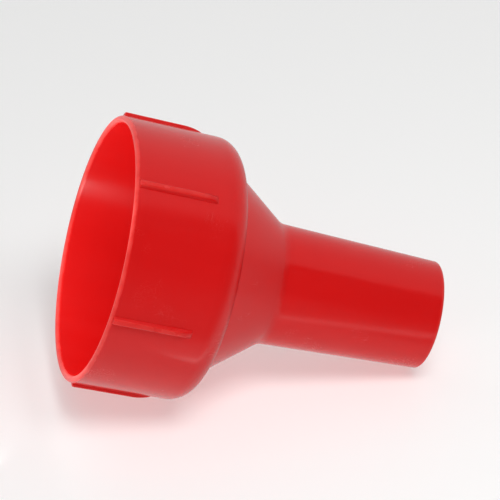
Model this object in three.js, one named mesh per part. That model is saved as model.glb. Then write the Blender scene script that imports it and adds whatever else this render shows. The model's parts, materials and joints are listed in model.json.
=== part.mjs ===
// A moulded plastic filling funnel for a jerrycan, lying on its side on a flat surface.
// Units are millimetres, +Z is up and the surface is Z = 0.
// The funnel is drawn about its own axis first: s runs along the axis from the mouth (s = 0)
// to the tip of the spout, and r is the outer radius there. The outline is then turned round
// the axis, and the whole funnel is tipped over until its shoulder and its tip touch the surface.
import * as THREE from 'three';

// Driving dimensions
const MOUTH_R = 38.5;        // outer radius at the mouth
const SKIRT_END_R = 38.0;    // outer radius where the straight skirt ends
const SKIRT_LENGTH = 28;     // mouth to the start of the shoulder
const RIM_WIDTH = 3;         // band at the mouth
const SHOULDER_R = 6.5;      // radius of the rounded shoulder
const CREASE_R = 30.2;       // outer radius where the shoulder's step meets the cone
const CONE_LENGTH = 17;      // along the axis
const SPOUT_ROOT_R = 17.5;   // outer radius where the cone meets the spout
const SPOUT_TIP_R = 15.6;    // outer radius at the tip
const SPOUT_LENGTH = 48.5;   // along the axis
const LIP_WIDTH = 3;         // band at the tip
const WALL = 2;              // wall thickness, square to the wall
const RIB_COUNT = 6;
const RIB_START = 1;         // mouth to the near end of each rib
const RIB_END = 24;          // mouth to the far end of each rib
const RIB_WIDTH = 2.2;
const RIB_HEIGHT = 1.1;      // how far a rib stands proud of the skirt
const RIB_NOSE = 5;          // length of the sloped far end of a rib
const SEAM = 0.3;            // gap kept between neighbouring zones of the moulding
const RIB_SEAM = 0.15;       // gap kept under each rib

// Fineness of the faceted solids
const SIDES = 24;            // flats round the axis, one of them facing straight down
const ARC_STEPS = 5;         // steps in the rounded shoulder

const SHOULDER_END = SKIRT_LENGTH + SHOULDER_R;
const CONE_END = SHOULDER_END + CONE_LENGTH;
const LENGTH = CONE_END + SPOUT_LENGTH;
const RED = 0xc8201c;

// Outer outline

// Outer radius of the skirt at s.
function skirtRadius(s) {
  return MOUTH_R + (SKIRT_END_R - MOUTH_R) * s / SKIRT_LENGTH;
}

// Outer radius of the spout at s.
function spoutRadius(s) {
  return SPOUT_ROOT_R + (SPOUT_TIP_R - SPOUT_ROOT_R) * (s - CONE_END) / SPOUT_LENGTH;
}

// Points of the rounded shoulder, from the end of the skirt to the flat step before the cone.
function shoulderArc() {
  const points = [];
  for (let i = 1; i <= ARC_STEPS; i += 1) {
    const turn = (i / ARC_STEPS) * Math.PI / 2;
    const s = SKIRT_LENGTH + SHOULDER_R * Math.sin(turn);
    const r = SKIRT_END_R - SHOULDER_R * (1 - Math.cos(turn));
    points.push(new THREE.Vector2(s, r));
  }
  return points;
}

// The whole outer outline, cut into the zones of the moulding. Each zone starts where the last ends.
function outerZones() {
  const lipStart = LENGTH - LIP_WIDTH;
  const ends = {
    mouth: new THREE.Vector2(0, MOUTH_R),
    rimEnd: new THREE.Vector2(RIM_WIDTH, skirtRadius(RIM_WIDTH)),
    skirtEnd: new THREE.Vector2(SKIRT_LENGTH, SKIRT_END_R),
    crease: new THREE.Vector2(SHOULDER_END, CREASE_R),
    spoutRoot: new THREE.Vector2(CONE_END, SPOUT_ROOT_R),
    lipStart: new THREE.Vector2(lipStart, spoutRadius(lipStart)),
    tip: new THREE.Vector2(LENGTH, SPOUT_TIP_R),
  };
  return [
    ['mouth_rim', [ends.mouth, ends.rimEnd]],
    ['skirt', [ends.rimEnd, ends.skirtEnd]],
    ['shoulder', [ends.skirtEnd, ...shoulderArc(), ends.crease]],
    ['cone', [ends.crease, ends.spoutRoot]],
    ['spout', [ends.spoutRoot, ends.lipStart]],
    ['spout_lip', [ends.lipStart, ends.tip]],
  ];
}

// Wall thickness

// Unit vector from a to b.
function along(a, b) {
  return b.clone().sub(a).normalize();
}

// The inner partner of an outer point: WALL inside both stretches of outline that meet there.
// At the mouth and at the tip the wall is cut square to the axis.
function innerPoint(before, point, after) {
  if (!before || !after) {
    const run = before ? along(before, point) : along(point, after);
    return new THREE.Vector2(point.x, point.y - WALL / run.x);
  }
  const inward = (run) => new THREE.Vector2(run.y, -run.x);
  const first = inward(along(before, point));
  const second = inward(along(point, after));
  const reach = WALL / (1 + first.dot(second));
  return point.clone().addScaledVector(first.add(second), reach);
}

// Pairs of outer and inner points for one zone, with half the seam taken off each joined end.
function zoneWall(points, before, after) {
  const pairs = points.map((point, i) => {
    const previous = i > 0 ? points[i - 1] : before;
    const next = i < points.length - 1 ? points[i + 1] : after;
    return { outer: point.clone(), inner: innerPoint(previous, point, next) };
  });
  const last = points.length - 1;
  const pullBack = (pair, run, distance) => {
    pair.outer.addScaledVector(run, distance);
    pair.inner.addScaledVector(run, distance);
  };
  if (before) pullBack(pairs[0], along(points[0], points[1]), SEAM / 2);
  if (after) pullBack(pairs[last], along(points[last - 1], points[last]), -SEAM / 2);
  return pairs;
}

// Solids

// Turns the lathe's own axis, +Y, onto the funnel's axis, +X.
function layAlongX(geometry) {
  return geometry.rotateZ(-Math.PI / 2);
}

// A closed ring of wall. Its flats touch the true radius at their middles, and its profile runs
// out along the outside and back along the inside.
function ringGeometry(pairs) {
  const toFlats = 1 / Math.cos(Math.PI / SIDES);
  const profile = [
    ...pairs.map((pair) => pair.outer),
    ...pairs.map((pair) => pair.inner).reverse(),
    pairs[0].outer,
  ].map((point) => new THREE.Vector2(point.y * toFlats, point.x));
  return layAlongX(new THREE.LatheGeometry(profile, SIDES, Math.PI / SIDES));
}

// One grip rib, standing on the top flat of the skirt: its side outline pulled through its width.
function ribGeometry() {
  const foot = (s) => skirtRadius(s) + RIB_SEAM;
  const crest = (s) => skirtRadius(s) + RIB_HEIGHT;
  const noseStart = RIB_END - RIB_NOSE;
  const side = new THREE.Shape();
  side.moveTo(RIB_START, foot(RIB_START));
  side.lineTo(RIB_END, foot(RIB_END));
  side.quadraticCurveTo(noseStart + RIB_NOSE / 2, crest(RIB_END), noseStart, crest(noseStart));
  side.lineTo(RIB_START, crest(RIB_START));
  side.closePath();
  const geometry = new THREE.ExtrudeGeometry(side, {
    depth: RIB_WIDTH, bevelEnabled: false, curveSegments: ARC_STEPS,
  });
  // The outline was drawn with the radius along Y: stand it up along Z.
  return geometry.translate(0, 0, -RIB_WIDTH / 2).rotateX(Math.PI / 2);
}

function redPlastic() {
  return new THREE.MeshStandardMaterial({ color: RED, roughness: 0.32, metalness: 0 });
}

function namedMesh(name, geometry) {
  const mesh = new THREE.Mesh(geometry, redPlastic());
  mesh.name = name;
  return mesh;
}

// The funnel about its own axis

function ringZones() {
  const zones = outerZones();
  return zones.map(([name, points], i) => {
    const before = i > 0 ? zones[i - 1][1].at(-2) : null;
    const after = i < zones.length - 1 ? zones[i + 1][1][1] : null;
    return namedMesh(name, ringGeometry(zoneWall(points, before, after)));
  });
}

// The ribs are evenly spaced, and the lowest two straddle the line that the funnel rests on.
function gripRibs() {
  const ribs = [];
  for (let i = 0; i < RIB_COUNT; i += 1) {
    const rib = namedMesh(`grip_rib_${i + 1}`, ribGeometry());
    rib.rotation.x = (i + 0.5) * (2 * Math.PI / RIB_COUNT);
    ribs.push(rib);
  }
  return ribs;
}

// Lying down

// The angle and height at which the funnel comes to rest on its shoulder and its tip.
function restingPose() {
  const tip = new THREE.Vector2(LENGTH, SPOUT_TIP_R);
  let tilt = 0;
  for (const [, points] of outerZones()) {
    for (const point of points) {
      if (point.x < CONE_END) {
        tilt = Math.max(tilt, Math.atan2(point.y - tip.y, tip.x - point.x));
      }
    }
  }
  const axisHeightAtMouth = LENGTH * Math.sin(tilt) + SPOUT_TIP_R * Math.cos(tilt);
  return { tilt, axisHeightAtMouth };
}

function build() {
  const funnel = new THREE.Group();
  funnel.add(...ringZones(), ...gripRibs());
  const { tilt, axisHeightAtMouth } = restingPose();
  // A turn about +Y lowers the +X end, so that the spout points down towards the surface.
  funnel.rotation.y = tilt;
  funnel.position.z = axisHeightAtMouth;

  // Centre the box of the whole funnel on X = 0 and Y = 0.
  const object = new THREE.Group();
  object.name = 'funnel';
  object.add(funnel);
  object.updateMatrixWorld(true);
  const middle = new THREE.Box3().setFromObject(object, true).getCenter(new THREE.Vector3());
  funnel.position.x -= middle.x;
  funnel.position.y -= middle.y;
  object.updateMatrixWorld(true);
  return object;
}

export default build();
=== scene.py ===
import json
import math

import bmesh
import bpy
from bpy.props import FloatProperty, FloatVectorProperty, IntProperty, PointerProperty
from mathutils import Matrix, Vector


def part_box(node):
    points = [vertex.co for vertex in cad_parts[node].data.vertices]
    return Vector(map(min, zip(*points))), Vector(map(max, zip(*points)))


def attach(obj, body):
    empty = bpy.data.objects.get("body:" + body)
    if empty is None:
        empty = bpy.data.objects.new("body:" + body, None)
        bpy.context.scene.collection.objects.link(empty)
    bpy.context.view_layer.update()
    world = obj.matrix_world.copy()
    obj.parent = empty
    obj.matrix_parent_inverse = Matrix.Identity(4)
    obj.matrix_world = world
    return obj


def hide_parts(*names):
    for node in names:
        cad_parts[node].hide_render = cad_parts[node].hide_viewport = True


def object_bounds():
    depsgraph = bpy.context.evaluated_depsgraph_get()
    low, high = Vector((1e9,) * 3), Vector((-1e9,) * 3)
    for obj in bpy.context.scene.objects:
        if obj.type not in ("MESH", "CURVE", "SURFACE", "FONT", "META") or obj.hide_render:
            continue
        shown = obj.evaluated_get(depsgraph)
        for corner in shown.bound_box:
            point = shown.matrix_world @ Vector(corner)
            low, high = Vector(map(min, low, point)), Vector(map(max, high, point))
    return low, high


bl_info = {
    "name": "Jerrycan funnel",
    "version": (1, 0, 0),
    "blender": (4, 5, 0),
    "location": "View3D > Sidebar > Funnel",
    "description": "A moulded plastic filling funnel, lying on its side on a pale floor",
    "category": "Object",
}

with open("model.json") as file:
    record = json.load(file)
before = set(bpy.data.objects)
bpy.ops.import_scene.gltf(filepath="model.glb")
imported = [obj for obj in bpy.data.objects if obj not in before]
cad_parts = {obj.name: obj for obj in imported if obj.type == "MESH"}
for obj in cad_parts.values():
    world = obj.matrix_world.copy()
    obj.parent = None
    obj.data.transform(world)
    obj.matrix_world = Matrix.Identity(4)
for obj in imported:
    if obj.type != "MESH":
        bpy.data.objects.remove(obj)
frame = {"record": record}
CAD_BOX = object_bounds()
BODY = "root"
MM = 0.001


# Where the funnel lies, read from the frame


def mount(name):
    """The record's entry for one of the funnel's flat end faces."""
    return next(m for m in frame["record"]["mounts"] if m["name"] == name)


MOUTH_LOW, MOUTH_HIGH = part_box("mouth_rim")
AXIS = Vector(mount("spout_tip_face")["axis"]).normalized()
ABOVE = Vector((-AXIS.z, 0, AXIS.x))
MOUTH_RADIUS = (MOUTH_HIGH.y - MOUTH_LOW.y) / 2
MOUTH_CENTRE = Vector((
    MOUTH_LOW.x + MOUTH_RADIUS * ABOVE.x,
    0,
    MOUTH_HIGH.z - MOUTH_RADIUS * ABOVE.z,
))
LENGTH = (Vector(mount("spout_tip_face")["pos_m"]) - MOUTH_CENTRE).dot(AXIS)

# Turns the funnel's own frame, with X from the mouth to the tip, into the frame it lies in.
LAID_DOWN = Matrix((
    (AXIS.x, 0, ABOVE.x, MOUTH_CENTRE.x),
    (AXIS.y, 1, ABOVE.y, MOUTH_CENTRE.y),
    (AXIS.z, 0, ABOVE.z, MOUTH_CENTRE.z),
    (0, 0, 0, 1),
))


# Settings


def size_setting(name, description, default):
    return FloatProperty(
        name=name, description=description, default=default, min=0.0, subtype="DISTANCE", unit="LENGTH"
    )


def colour_setting(name, description, default):
    return FloatVectorProperty(
        name=name, description=description, default=default, size=3, min=0.0, max=1.0, subtype="COLOR"
    )


class FunnelSizes(bpy.types.PropertyGroup):
    """The funnel's outline, wall and ribs."""

    mouth_radius: size_setting("Mouth radius", "Outer radius at the mouth", MOUTH_RADIUS)
    length: size_setting("Length", "Mouth to tip, along the axis", LENGTH)
    wall: size_setting("Wall", "Wall thickness", 2.0 * MM)
    rim_width: size_setting("Rim width", "Band at the mouth", 3.0 * MM)
    skirt_length: size_setting("Skirt length", "Mouth to the end of the skirt", 28.0 * MM)
    skirt_end_radius: size_setting("Skirt end radius", "Outer radius at the end of the skirt", 38.0 * MM)
    shoulder_radius: size_setting("Shoulder radius", "Rounding of the shoulder", 6.35 * MM)
    shoulder_end: size_setting("Shoulder end", "Mouth to the step behind the shoulder", 34.5 * MM)
    crease_radius: size_setting("Crease radius", "Outer radius where the step meets the cone", 30.2 * MM)
    crease_fillet: size_setting("Crease fillet", "Small fillet in the crease", 0.5 * MM)
    cone_end: size_setting("Cone end", "Mouth to the root of the spout", 51.5 * MM)
    root_radius: size_setting("Spout root radius", "Outer radius at the root of the spout", 17.5 * MM)
    root_fillet: size_setting("Root fillet", "Fillet between cone and spout, along the wall", 1.4 * MM)
    tip_radius: size_setting("Tip radius", "Outer radius at the tip", 15.6 * MM)
    lip_width: size_setting("Lip width", "Band at the tip", 3.0 * MM)
    edge_rounding: size_setting("Edge rounding", "Rounding of the two cut ends", 0.85 * MM)
    rib_count: IntProperty(name="Ribs", description="Grip ribs round the skirt", default=6, min=0)
    rib_start: size_setting("Rib start", "Mouth to the near end of a rib", 0.9 * MM)
    rib_end: size_setting("Rib end", "Mouth to the far end of a rib", 24.0 * MM)
    rib_nose: size_setting("Rib nose", "Length of the sloping far end", 5.5 * MM)
    rib_width: size_setting("Rib width", "Width of a rib at half its height", 2.0 * MM)
    rib_height: size_setting("Rib height", "How far a rib stands proud", 1.1 * MM)


class FunnelLooks(bpy.types.PropertyGroup):
    """The plastic's colours and the stage."""

    plastic: colour_setting("Plastic", "Body colour of the plastic", (0.68, 0.008, 0.008))
    plastic_deep: colour_setting("Deep plastic", "Where the pigment is denser", (0.61, 0.006, 0.006))
    # The worn colour also paints a highlight: the rim's edge is paler all round, as if lit.
    wear_and_highlight: colour_setting("Worn edge", "Rubbed and thinned edges", (0.95, 0.12, 0.10))
    floor: colour_setting("Floor", "Pale studio floor", (0.80, 0.80, 0.795))


# Turned pieces


SEGMENTS = 240             # flats round a turned piece
ARC_STEPS = 14             # steps in a rounded corner
SHOULDER, CREASE, ROOT = 1, 2, 3    # these corners' places in the outline
INNER_EASE = 0.8           # share of the wall that is added to a fillet on the inside
CREASE_RUN = 1.2 * MM      # how far the shoulder's zone runs on past its step
ROOT_RUN = 2.2 * MM        # how far the cone's zone runs on past its end
SAME_POINT = 1e-7          # vertices closer than this are one
SAME_RADIUS = 1e-6
DECIMALS = 6               # to which the cut corners are matched


def outline(sizes):
    """The corners of the outer outline, from the mouth to the tip, as (along, radius, rounding).

    The rounding is the length taken off each side of the corner.
    """
    s = sizes
    return [
        (0, s.mouth_radius, s.edge_rounding),
        (s.shoulder_end, skirt_radius(s, s.shoulder_end), s.shoulder_radius),
        (s.shoulder_end, s.crease_radius, s.crease_fillet),
        (s.cone_end, s.root_radius, s.root_fillet),
        (s.length, s.tip_radius, s.edge_rounding),
    ]


def skirt_radius(sizes, along):
    """Outer radius of the skirt's tapering wall."""
    taper = (sizes.skirt_end_radius - sizes.mouth_radius) / sizes.skirt_length
    return sizes.mouth_radius + taper * along


def inner_outline(sizes):
    """The same corners on the inside of the wall, from the tip back to the mouth."""
    corners = [Vector((x, r)) for x, r, _ in outline(sizes)]
    roundings = [rounding for _, _, rounding in outline(sizes)]
    inner = []
    for i, corner in enumerate(corners):
        runs = []
        if i > 0:
            runs.append((corner - corners[i - 1]).normalized())
        if i < len(corners) - 1:
            runs.append((corners[i + 1] - corner).normalized())
        inward = [Vector((run.y, -run.x)) for run in runs]
        if len(runs) == 1:
            point = Vector((corner.x, corner.y - sizes.wall / runs[0].x))
        else:
            reach = sizes.wall / (1 + inward[0].dot(inward[1]))
            point = corner + (inward[0] + inward[1]) * reach
        inner.append(point)
    rounded = []
    for i in reversed(range(len(inner))):
        rounding = roundings[i]
        if i == SHOULDER:
            rounding = sizes.shoulder_radius - sizes.wall
        elif i in (CREASE, ROOT):
            rounding += INNER_EASE * sizes.wall
        rounded.append((inner[i].x, inner[i].y, rounding))
    return rounded


def section_loop(sizes):
    """A bmesh with the wall's whole cross-section as one closed loop in the XZ plane."""
    bm = bmesh.new()
    corners = outline(sizes) + inner_outline(sizes)
    verts = [bm.verts.new((x, 0, r)) for x, r, _ in corners]
    for i, vert in enumerate(verts):
        bm.edges.new((vert, verts[(i + 1) % len(verts)]))
    for vert, (_, _, rounding) in zip(verts, corners):
        bmesh.ops.bevel(
            bm, geom=[vert], offset=rounding, offset_type="OFFSET", segments=ARC_STEPS,
            profile=0.5, affect="VERTICES", material=-1,
        )
    return bm


def zone_cuts(sizes):
    """The planes square to the axis that divide the moulding into its zones, from the mouth."""
    s = sizes
    return [
        ("mouth_rim", 0, s.rim_width),
        ("skirt", s.rim_width, s.skirt_length),
        ("shoulder", s.skirt_length, s.shoulder_end + CREASE_RUN),
        ("cone", s.shoulder_end + CREASE_RUN, s.cone_end + ROOT_RUN),
        ("spout", s.cone_end + ROOT_RUN, s.length - s.lip_width),
        ("spout_lip", s.length - s.lip_width, s.length),
    ]


def keep_between(bm, start, end):
    """Cuts the mesh square to the axis and keeps what lies between the two cuts."""
    cuts = [(start, -1)] if start > 0 else []
    for along, outward in cuts + [(end, 1)]:
        bmesh.ops.bisect_plane(
            bm, geom=bm.verts[:] + bm.edges[:] + bm.faces[:], dist=SAME_POINT,
            plane_co=(along, 0, 0), plane_no=(outward, 0, 0), clear_outer=True,
        )


def close_cut(bm):
    """Joins a cut section's loose ends in pairs, outer wall to inner, and returns those corners."""
    ends = [v for v in bm.verts if len(v.link_edges) == 1]
    ends.sort(key=lambda v: (round(v.co.x, DECIMALS), v.co.z))
    for low, high in zip(ends[0::2], ends[1::2]):
        bm.edges.new((low, high))
    return [v.co.copy() for v in ends]


def turned_mesh(bm, corners):
    """Turns the section once round the axis and smooths it, leaving the cut corners sharp."""
    bmesh.ops.spin(
        bm, geom=bm.verts[:] + bm.edges[:], cent=(0, 0, 0), axis=(1, 0, 0), dvec=(0, 0, 0),
        angle=math.tau, steps=SEGMENTS, use_merge=True, use_normal_flip=False, use_duplicate=False,
    )
    bmesh.ops.remove_doubles(bm, verts=bm.verts[:], dist=SAME_POINT)
    bmesh.ops.recalc_face_normals(bm, faces=bm.faces[:])
    for face in bm.faces:
        face.smooth = True
    sharp = {(round(c.x, DECIMALS), round(c.z, DECIMALS)) for c in corners}
    for edge in bm.edges:
        a, b = edge.verts
        radius = math.hypot(a.co.y, a.co.z)
        level = abs(a.co.x - b.co.x) < SAME_POINT
        runs_round = level and abs(radius - math.hypot(b.co.y, b.co.z)) < SAME_RADIUS
        if runs_round and (round(a.co.x, DECIMALS), round(radius, DECIMALS)) in sharp:
            edge.smooth = False


def finished_piece(bm, name, nodes):
    """Lays the mesh down where the frame has it and makes the object that stands for the nodes."""
    bmesh.ops.transform(bm, matrix=LAID_DOWN, verts=bm.verts[:])
    mesh = bpy.data.meshes.new(name)
    bm.to_mesh(mesh)
    bm.free()
    piece = bpy.data.objects.new(name, mesh)
    bpy.context.scene.collection.objects.link(piece)
    mesh.materials.append(red_plastic())
    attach(piece, BODY)
    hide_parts(*nodes)
    return piece


def make_zone(zone):
    """Makes one turned zone of the moulding."""
    sizes = bpy.context.scene.funnel_sizes
    start, end = next((a, b) for name, a, b in zone_cuts(sizes) if name == zone)
    bm = section_loop(sizes)
    keep_between(bm, start, end)
    corners = close_cut(bm)
    turned_mesh(bm, corners)
    return finished_piece(bm, f"moulded_{zone}", [zone])


# Ribs


RIB_SINK = 0.25 * MM         # how deep a rib's underside is let into the wall
RIB_FOOT_SINK = 0.02 * MM    # how deep its foot is
RIB_STEPS = 7                # steps in each rounding
RIB_NOSE_STEPS = 12
RIB_NOSE_CURVE = 0.75        # how bluntly the far end comes down
RIB_START_ROUND = 0.5 * MM   # rounding of the near end
RIB_FILLET = 0.35            # shares of the rib's height: fillet at the foot,
RIB_CROWN = 0.45             # rounding of the crest
RIB_LEAN = 0.12              # and lean of the sides


def rib_section(sizes):
    """A rib's cross-section as (across, above) points, over the crest from foot to foot."""
    fillet = RIB_FILLET * sizes.rib_height
    crown = RIB_CROWN * sizes.rib_height
    lean = RIB_LEAN * sizes.rib_height
    half = sizes.rib_width / 2
    side = []
    for i in range(RIB_STEPS + 1):
        turn = (math.pi / 2) * i / RIB_STEPS
        side.append((half + lean + fillet * (1 - math.sin(turn)), fillet * (1 - math.cos(turn))))
    for i in range(RIB_STEPS + 1):
        turn = (math.pi / 2) * i / RIB_STEPS
        across = half - lean - crown * (1 - math.cos(turn))
        side.append((across, sizes.rib_height - crown * (1 - math.sin(turn))))
    return side + [(-across, above) for across, above in reversed(side)]


def rib_profile(sizes):
    """Stations along a rib as (along, share of the full height)."""
    stations = []
    for i in range(RIB_STEPS + 1):
        turn = (math.pi / 2) * i / RIB_STEPS
        stations.append((sizes.rib_start + RIB_START_ROUND * (1 - math.cos(turn)), math.sin(turn)))
    nose_start = sizes.rib_end - sizes.rib_nose
    for i in range(RIB_NOSE_STEPS + 1):
        t = i / RIB_NOSE_STEPS
        stations.append((nose_start + sizes.rib_nose * t, (1 - t * t) ** RIB_NOSE_CURVE))
    return stations


def make_rib(number):
    """Makes one grip rib: its section carried along the skirt, sinking away at both ends."""
    sizes = bpy.context.scene.funnel_sizes
    turn = (number - 0.5) * math.tau / sizes.rib_count
    section = rib_section(sizes)
    section = section + [(-section[0][0], -RIB_SINK), (section[0][0], -RIB_SINK)]
    bm = bmesh.new()
    ring = [bm.verts.new((0, 0, 0)) for _ in section]
    loop = [bm.edges.new((v, ring[(i + 1) % len(ring)])) for i, v in enumerate(ring)]

    def place(verts, along, share):
        radius = skirt_radius(sizes, along)
        for vert, (across, above) in zip(verts, section):
            height = above * share - RIB_FOOT_SINK if above >= 0 else above
            angle = turn + across / radius
            r = radius + height
            vert.co = (along, -r * math.sin(angle), r * math.cos(angle))

    stations = rib_profile(sizes)
    place(ring, *stations[0])
    first = loop
    for along, share in stations[1:]:
        made = bmesh.ops.extrude_edge_only(bm, edges=loop)["geom"]
        loop = [g for g in made if isinstance(g, bmesh.types.BMEdge)]
        verts = [g for g in made if isinstance(g, bmesh.types.BMVert)]
        place(verts, along, share)
    bmesh.ops.edgeloop_fill(bm, edges=first)
    bmesh.ops.edgeloop_fill(bm, edges=loop)
    bmesh.ops.recalc_face_normals(bm, faces=bm.faces[:])
    for face in bm.faces:
        face.smooth = len(face.verts) == 4
    name = f"grip_rib_{number}"
    return finished_piece(bm, f"moulded_{name}", [name])


# Plastic


PEEL = 0.045 * MM           # depth of the slight waviness of the moulded skin
TURNING_MARKS = 0.006 * MM  # depth of the rings that the turned mould leaves
SCRATCH_DEPTH = 0.01 * MM
GLOSS = 0.25                # roughness of the untouched skin
GLOSSIER = -0.03            # how far the roughness falls and rises along the flow
DULLER = 0.02
WORN_GLOSS = 0.45           # roughness of rubbed edges and scratches
WEAR_AND_HIGHLIGHT_PALE = 0.6             # how much paler a worn edge is; at the rim the paler edge is also a painted highlight
SCRATCH_PALE = 0.10         # and a scratch
TIP_WEAR = 0.4              # wear at the tip and on the ribs, against 1 at the rim, whose pale edge is wear and a painted highlight
CREST_WEAR = 0.3
WEAR_AND_HIGHLIGHT_REACH = 1.6            # how far wear and the rim's painted highlight reach in from an end, in edge roundings
CREST_BELOW = 0.25 * MM     # the wear on a rib fades in over this much below its crest
CREST_ABOVE = 0.15 * MM     # and this much above
SCRATCH_WIDTH = 0.010       # half width of a scratch, as a share of the noise's range
SCRATCH_RUNS = (            # each run's turn and how it is stretched into lines
    (0.5, (30, 900, 900)),
    (-0.9, (40, 700, 700)),
    (1.4, (26, 1000, 1000)),
)
LIGHT_SCATTER = 2.5 * MM    # how far light travels inside the plastic


class Graph:
    """Short calls that add nodes to a material and link them."""

    def __init__(self, material):
        material.use_nodes = True
        self.nodes = material.node_tree.nodes
        self.links = material.node_tree.links

    def put(self, socket, source):
        """Links the source if it is a socket, and sets it as the value if not."""
        if isinstance(source, bpy.types.NodeSocket):
            self.links.new(source, socket)
        else:
            socket.default_value = source

    def math(self, operation, a, b=0.0):
        node = self.nodes.new("ShaderNodeMath")
        node.operation = operation
        self.put(node.inputs[0], a)
        self.put(node.inputs[1], b)
        return node.outputs[0]

    def ramp(self, value, low, high, to_low=0.0, to_high=1.0):
        """Smoothly from to_low, where the value is low, to to_high, where it is high."""
        node = self.nodes.new("ShaderNodeMapRange")
        node.interpolation_type = "SMOOTHSTEP"
        for name, source in (
            ("Value", value), ("From Min", low), ("From Max", high), ("To Min", to_low), ("To Max", to_high)
        ):
            self.put(node.inputs[name], source)
        return node.outputs["Result"]

    def stretched(self, vector, scale):
        node = self.nodes.new("ShaderNodeMapping")
        node.inputs["Scale"].default_value = scale
        self.put(node.inputs["Vector"], vector)
        return node.outputs["Vector"]

    def noise(self, vector, scale, detail=2.0):
        node = self.nodes.new("ShaderNodeTexNoise")
        self.put(node.inputs["Vector"], vector)
        node.inputs["Scale"].default_value = scale
        node.inputs["Detail"].default_value = detail
        return node.outputs["Fac"]

    def mix(self, factor, a, b):
        node = self.nodes.new("ShaderNodeMix")
        node.data_type = "RGBA"
        self.put(node.inputs["Factor"], factor)
        self.put(node.inputs["A"], a)
        self.put(node.inputs["B"], b)
        return node.outputs["Result"]

    def bump(self, height, depth, normal=None):
        node = self.nodes.new("ShaderNodeBump")
        node.inputs["Distance"].default_value = depth
        self.put(node.inputs["Height"], height)
        if normal:
            self.put(node.inputs["Normal"], normal)
        return node.outputs["Normal"]


def own_place(graph):
    """Object coordinates turned into the funnel's own frame: X from the mouth towards the tip."""
    mapping = graph.nodes.new("ShaderNodeMapping")
    mapping.vector_type = "TEXTURE"
    mapping.inputs["Location"].default_value = MOUTH_CENTRE
    mapping.inputs["Rotation"].default_value = LAID_DOWN.to_euler()
    graph.put(mapping.inputs["Vector"], graph.nodes.new("ShaderNodeTexCoord").outputs["Object"])
    return mapping.outputs["Vector"]


def edge_wear_and_highlight(graph, place, sizes):
    """1 on the rim's edge, on the tip's edge and on the ribs' crests, broken up by noise. At the tip and on
    the crests this is wear; at the rim it is wear and a painted highlight.
    """
    split = graph.nodes.new("ShaderNodeSeparateXYZ")
    graph.put(split.inputs["Vector"], place)
    along = split.outputs["X"]
    across = graph.math("POWER", split.outputs["Y"], 2.0)
    up = graph.math("POWER", split.outputs["Z"], 2.0)
    radius = graph.math("SQRT", graph.math("ADD", across, up))

    reach = WEAR_AND_HIGHLIGHT_REACH * sizes.edge_rounding
    # Wear and painted highlight: the rim's edge is pale all round.
    rim = graph.ramp(along, 0.0, reach, 1.0, 0.0)
    tip = graph.math("MULTIPLY", graph.ramp(along, sizes.length - reach, sizes.length), TIP_WEAR)
    crest_radius = sizes.skirt_end_radius + sizes.rib_height
    crest = graph.ramp(radius, crest_radius - CREST_BELOW, crest_radius + CREST_ABOVE)
    crest = graph.math("MULTIPLY", crest, CREST_WEAR)
    wear_and_highlight = graph.math("MAXIMUM", graph.math("MAXIMUM", rim, tip), crest)
    patches = graph.ramp(graph.noise(place, 260, 4), 0.38, 0.62, 0.6, 1.0)
    return graph.math("MULTIPLY", wear_and_highlight, patches)


def scratches(graph, place):
    """Thin crossing lines, only where the funnel has been rubbed."""
    lines = []
    for turn, scale in SCRATCH_RUNS:
        turned = graph.nodes.new("ShaderNodeMapping")
        turned.inputs["Rotation"].default_value = (turn, turn, 0.3 * turn)
        graph.put(turned.inputs["Vector"], place)
        field = graph.noise(graph.stretched(turned.outputs["Vector"], scale), 1.0, 0.0)
        offset = graph.math("ABSOLUTE", graph.math("SUBTRACT", field, 0.5))
        lines.append(graph.ramp(offset, 0.0, SCRATCH_WIDTH, 1.0, 0.0))
    rubbed = graph.ramp(graph.noise(place, 70, 2), 0.60, 0.74)
    all_lines = graph.math("MAXIMUM", graph.math("MAXIMUM", lines[0], lines[1]), lines[2])
    return graph.math("MULTIPLY", all_lines, rubbed)


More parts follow.
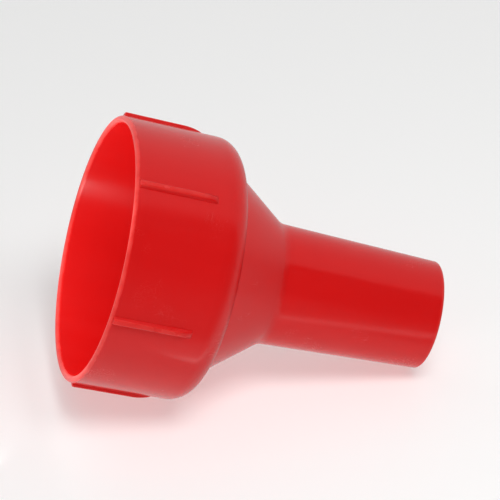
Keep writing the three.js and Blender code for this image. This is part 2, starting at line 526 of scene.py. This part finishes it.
def red_plastic():
    """Semi-gloss pigmented polyethylene, shared by every zone so that it runs on across them."""
    name = "red_polyethylene"
    if name in bpy.data.materials:
        return bpy.data.materials[name]
    looks = bpy.context.scene.funnel_looks
    material = bpy.data.materials.new(name)
    graph = Graph(material)
    shader = graph.nodes["Principled BSDF"]
    shader.inputs["IOR"].default_value = 1.51
    shader.inputs["Specular IOR Level"].default_value = 0.38
    shader.inputs["Subsurface Weight"].default_value = 0.3
    shader.inputs["Subsurface Radius"].default_value = (1.0, 0.08, 0.06)
    shader.inputs["Subsurface Scale"].default_value = LIGHT_SCATTER
    # The mould's rings run round the funnel, so highlights are drawn out along the axis.
    shader.inputs["Anisotropic"].default_value = 0.93
    along_axis = graph.nodes.new("ShaderNodeCombineXYZ")
    for socket, value in zip(along_axis.inputs, AXIS):
        socket.default_value = value
    graph.put(shader.inputs["Tangent"], along_axis.outputs["Vector"])

    place = own_place(graph)
    wear_and_highlight = edge_wear_and_highlight(graph, place, bpy.context.scene.funnel_sizes)
    scratched = scratches(graph, place)
    flow = graph.noise(graph.stretched(place, (0.1, 1, 1)), 170, 3)
    clouds = graph.noise(place, 45, 3)

    pigment = graph.math("MULTIPLY", graph.math("ADD", clouds, flow), 0.5)
    body = graph.mix(pigment, (*looks.plastic_deep, 1), (*looks.plastic, 1))
    # Paler on worn edges and scratches; the pale rim edge is also a painted highlight.
    wear_and_highlight_pale = graph.math("MULTIPLY", wear_and_highlight, WEAR_AND_HIGHLIGHT_PALE)
    pale = graph.math("MAXIMUM", wear_and_highlight_pale, graph.math("MULTIPLY", scratched, SCRATCH_PALE))
    graph.put(shader.inputs["Base Color"], graph.mix(pale, body, (*looks.wear_and_highlight, 1)))

    skin = graph.ramp(flow, 0.3, 0.7, GLOSS + GLOSSIER, GLOSS + DULLER)
    worn_dull = graph.math("MULTIPLY", wear_and_highlight, 0.8)
    rubbed = graph.math("MAXIMUM", worn_dull, graph.math("MULTIPLY", scratched, 0.6))
    graph.put(shader.inputs["Roughness"], graph.ramp(rubbed, 0.0, 1.0, skin, WORN_GLOSS))

    peel = graph.bump(graph.noise(graph.stretched(place, (0.6, 1, 1)), 190, 1), PEEL)
    rings = graph.noise(graph.stretched(place, (1, 0.004, 0.004)), 2600, 3)
    turned = graph.bump(rings, TURNING_MARKS, peel)
    grooves = graph.math("MULTIPLY", scratched, -1.0)
    graph.put(shader.inputs["Normal"], graph.bump(grooves, SCRATCH_DEPTH, turned))
    return material


# Stage


FLOOR_GLOW = 0.16        # the floor's own faint light, which thins the shadows
FLOOR_RADIUS = 20.0


def pale_floor(looks):
    """Lays a wide round floor at the height that the funnel rests on."""
    material = bpy.data.materials.new("pale_floor")
    material.use_nodes = True
    shader = material.node_tree.nodes["Principled BSDF"]
    shader.inputs["Base Color"].default_value = (*looks.floor, 1)
    shader.inputs["Roughness"].default_value = 0.6
    shader.inputs["Emission Color"].default_value = (1, 1, 1, 1)
    shader.inputs["Emission Strength"].default_value = FLOOR_GLOW
    bm = bmesh.new()
    bmesh.ops.create_circle(bm, cap_ends=True, radius=FLOOR_RADIUS, segments=64)
    mesh = bpy.data.meshes.new("floor")
    bm.to_mesh(mesh)
    bm.free()
    floor = bpy.data.objects.new("floor", mesh)
    bpy.context.scene.collection.objects.link(floor)
    mesh.materials.append(material)
    floor.visible_glossy = False


def softbox(name, centre, target, width, depth, power, gloss_only=False):
    """A flat lamp aimed at the target, which the camera doesn't see.

    One for the gloss only shows in reflections, and any other one never does.
    """
    light = bpy.data.lights.new(name, "AREA")
    light.shape = "RECTANGLE"
    light.size, light.size_y = width, depth
    light.energy = power
    lamp = bpy.data.objects.new(name, light)
    lamp.location = centre
    lamp.rotation_euler = (Vector(target) - Vector(centre)).to_track_quat("-Z", "Y").to_euler()
    lamp.visible_camera = False
    lamp.visible_glossy = gloss_only
    lamp.visible_diffuse = not gloss_only
    bpy.context.scene.collection.objects.link(lamp)


EVEN_SPREAD = math.radians(30)    # how wide an even light looks, which softens its shading
CARD_GAP = 5 * MM                 # gap between the mouth and the small card that lights its inside


def even_light(name, direction, strength):
    """A soft light without shadows, equally strong everywhere, so that it draws no edge on the floor."""
    light = bpy.data.lights.new(name, "SUN")
    light.energy = strength
    light.angle = EVEN_SPREAD
    light.use_shadow = False
    lamp = bpy.data.objects.new(name, light)
    lamp.rotation_euler = (-Vector(direction)).to_track_quat("-Z", "Y").to_euler()
    lamp.visible_glossy = False
    bpy.context.scene.collection.objects.link(lamp)


BACKDROP = 0.85          # brightness of the white backdrop behind the floor
AMBIENT = 0.17           # brightness of the soft fill from all round
BRIGHT_ROOM = 0.65       # what the gloss picks up from the white part of the room
DARK_ROOM = 0.02         # what it picks up from the unlit room on the camera's side
DARK_FROM = math.radians(-38)    # the unlit room's lowest and highest elevation
DARK_TO = math.radians(72)
EDGE_SOFTNESS = 0.10     # half width of the blurred edge of the unlit room


def studio_world():
    """White all round, with the unlit side of the room in the reflections."""
    world = bpy.data.worlds.new("studio")
    world.use_nodes = True
    bpy.context.scene.world = world
    nodes, links = world.node_tree.nodes, world.node_tree.links
    background = nodes["Background"]
    direction = nodes.new("ShaderNodeTexCoord").outputs["Generated"]

    def inside(normal):
        """1 where the direction lies on the normal's side of a plane through the funnel."""
        dot = nodes.new("ShaderNodeVectorMath")
        dot.operation = "DOT_PRODUCT"
        dot.inputs[1].default_value = normal
        links.new(direction, dot.inputs[0])
        soft = nodes.new("ShaderNodeMapRange")
        soft.interpolation_type = "SMOOTHSTEP"
        soft.inputs["From Min"].default_value = -EDGE_SOFTNESS
        soft.inputs["From Max"].default_value = EDGE_SOFTNESS
        links.new(dot.outputs["Value"], soft.inputs["Value"])
        return soft.outputs["Result"]

    over_low_edge = inside((0, math.sin(DARK_FROM), math.cos(DARK_FROM)))
    under_high_edge = inside((0, -math.sin(DARK_TO), -math.cos(DARK_TO)))
    dark = nodes.new("ShaderNodeMath")
    dark.operation = "MULTIPLY"
    links.new(over_low_edge, dark.inputs[0])
    links.new(under_high_edge, dark.inputs[1])
    seen = nodes.new("ShaderNodeMapRange")
    seen.inputs["To Min"].default_value = BRIGHT_ROOM
    seen.inputs["To Max"].default_value = DARK_ROOM
    links.new(dark.outputs["Value"], seen.inputs["Value"])

    rays = nodes.new("ShaderNodeLightPath")
    strength = AMBIENT
    for ray, value in (("Is Glossy Ray", seen.outputs["Result"]), ("Is Camera Ray", BACKDROP)):
        choice = nodes.new("ShaderNodeMix")
        links.new(rays.outputs[ray], choice.inputs["Factor"])
        for socket, source in (("A", strength), ("B", value)):
            if isinstance(source, float):
                choice.inputs[socket].default_value = source
            else:
                links.new(source, choice.inputs[socket])
        strength = choice.outputs["Result"]
    links.new(strength, background.inputs["Strength"])
    background.inputs["Color"].default_value = (1, 1, 1, 1)


CAMERA_AZIMUTH = math.radians(-7.8)
CAMERA_ELEVATION = math.radians(31)
CAMERA_DISTANCE = 1.34
VIEW_WIDTH = 0.142


def stand_camera():
    """Aims the camera at the middle of the funnel."""
    low, high = CAD_BOX
    centre = (low + high) / 2
    flat = math.cos(CAMERA_ELEVATION)
    back = Vector((
        math.sin(CAMERA_AZIMUTH) * flat, -math.cos(CAMERA_AZIMUTH) * flat, math.sin(CAMERA_ELEVATION)
    ))
    data = bpy.data.cameras.new("camera")
    data.sensor_width = 36.0
    data.lens = data.sensor_width * CAMERA_DISTANCE / VIEW_WIDTH
    camera = bpy.data.objects.new("camera", data)
    camera.location = centre + back * CAMERA_DISTANCE
    camera.rotation_euler = (-back).to_track_quat("-Z", "Y").to_euler()
    bpy.context.scene.collection.objects.link(camera)
    bpy.context.scene.camera = camera


# Operators


class FUNNEL_OT_turned_zones(bpy.types.Operator):
    """Make the turned zones of the moulding: rim, skirt, shoulder, cone, spout and lip"""

    bl_idname = "funnel.turned_zones"
    bl_label = "Turned zones"

    def execute(self, context):
        for zone, _, _ in zone_cuts(context.scene.funnel_sizes):
            make_zone(zone)
        return {"FINISHED"}


class FUNNEL_OT_grip_ribs(bpy.types.Operator):
    """Make the grip ribs round the skirt"""

    bl_idname = "funnel.grip_ribs"
    bl_label = "Grip ribs"

    def execute(self, context):
        for number in range(1, context.scene.funnel_sizes.rib_count + 1):
            make_rib(number)
        return {"FINISHED"}


class FUNNEL_OT_stage(bpy.types.Operator):
    """Lay the pale floor and set up the soft light and the camera"""

    bl_idname = "funnel.stage"
    bl_label = "Stage"

    def execute(self, context):
        pale_floor(context.scene.funnel_looks)
        studio_world()
        softbox(
            "overhead_softbox", (0.15, -0.35, 0.68), (0, 0, 0), width=0.35, depth=0.3, power=3.0
        )
        even_light("mouth_fill", (-1.1, -0.3, 0.42), strength=1.4)
        even_light("low_fill", (0.1, -1.2, 0.02), strength=0.285)
        even_light("back_fill", (0.2, 0.7, 0.8), strength=0.9)
        softbox(
            "mouth_card", MOUTH_CENTRE - CARD_GAP * AXIS, MOUTH_CENTRE + AXIS,
            width=0.06, depth=0.06, power=0.013,
        )
        softbox(
            "low_strip", (-0.10, -0.075, 0.010), (-0.175, -0.015, 0.038),
            width=0.10, depth=0.014, power=0.25, gloss_only=True,
        )
        softbox(
            "spout_strip", (0.03, -0.053, 0.004), (0.03, 0, 0.02),
            width=0.11, depth=0.004, power=0.003, gloss_only=True,
        )
        stand_camera()
        context.scene.view_settings.view_transform = "Standard"
        return {"FINISHED"}


class FUNNEL_PT_panel(bpy.types.Panel):
    """Sidebar panel that makes the funnel piece by piece"""

    bl_idname = "FUNNEL_PT_panel"
    bl_label = "Jerrycan funnel"
    bl_space_type = "VIEW_3D"
    bl_region_type = "UI"
    bl_category = "Funnel"

    def draw(self, context):
        for settings in (context.scene.funnel_sizes, context.scene.funnel_looks):
            box = self.layout.box()
            for key in settings.__annotations__:
                box.prop(settings, key)
        for operator in MAKERS:
            self.layout.operator(operator.bl_idname)


MAKERS = (FUNNEL_OT_turned_zones, FUNNEL_OT_grip_ribs, FUNNEL_OT_stage)
CLASSES = (FunnelSizes, FunnelLooks, *MAKERS, FUNNEL_PT_panel)


def register():
    for cls in CLASSES:
        bpy.utils.register_class(cls)
    bpy.types.Scene.funnel_sizes = PointerProperty(type=FunnelSizes)
    bpy.types.Scene.funnel_looks = PointerProperty(type=FunnelLooks)


def unregister():
    del bpy.types.Scene.funnel_looks
    del bpy.types.Scene.funnel_sizes
    for cls in reversed(CLASSES):
        bpy.utils.unregister_class(cls)


def main():
    register()
    bpy.ops.funnel.turned_zones()
    bpy.ops.funnel.grip_ribs()
    bpy.ops.funnel.stage()


if __name__ == "__main__":
    main()
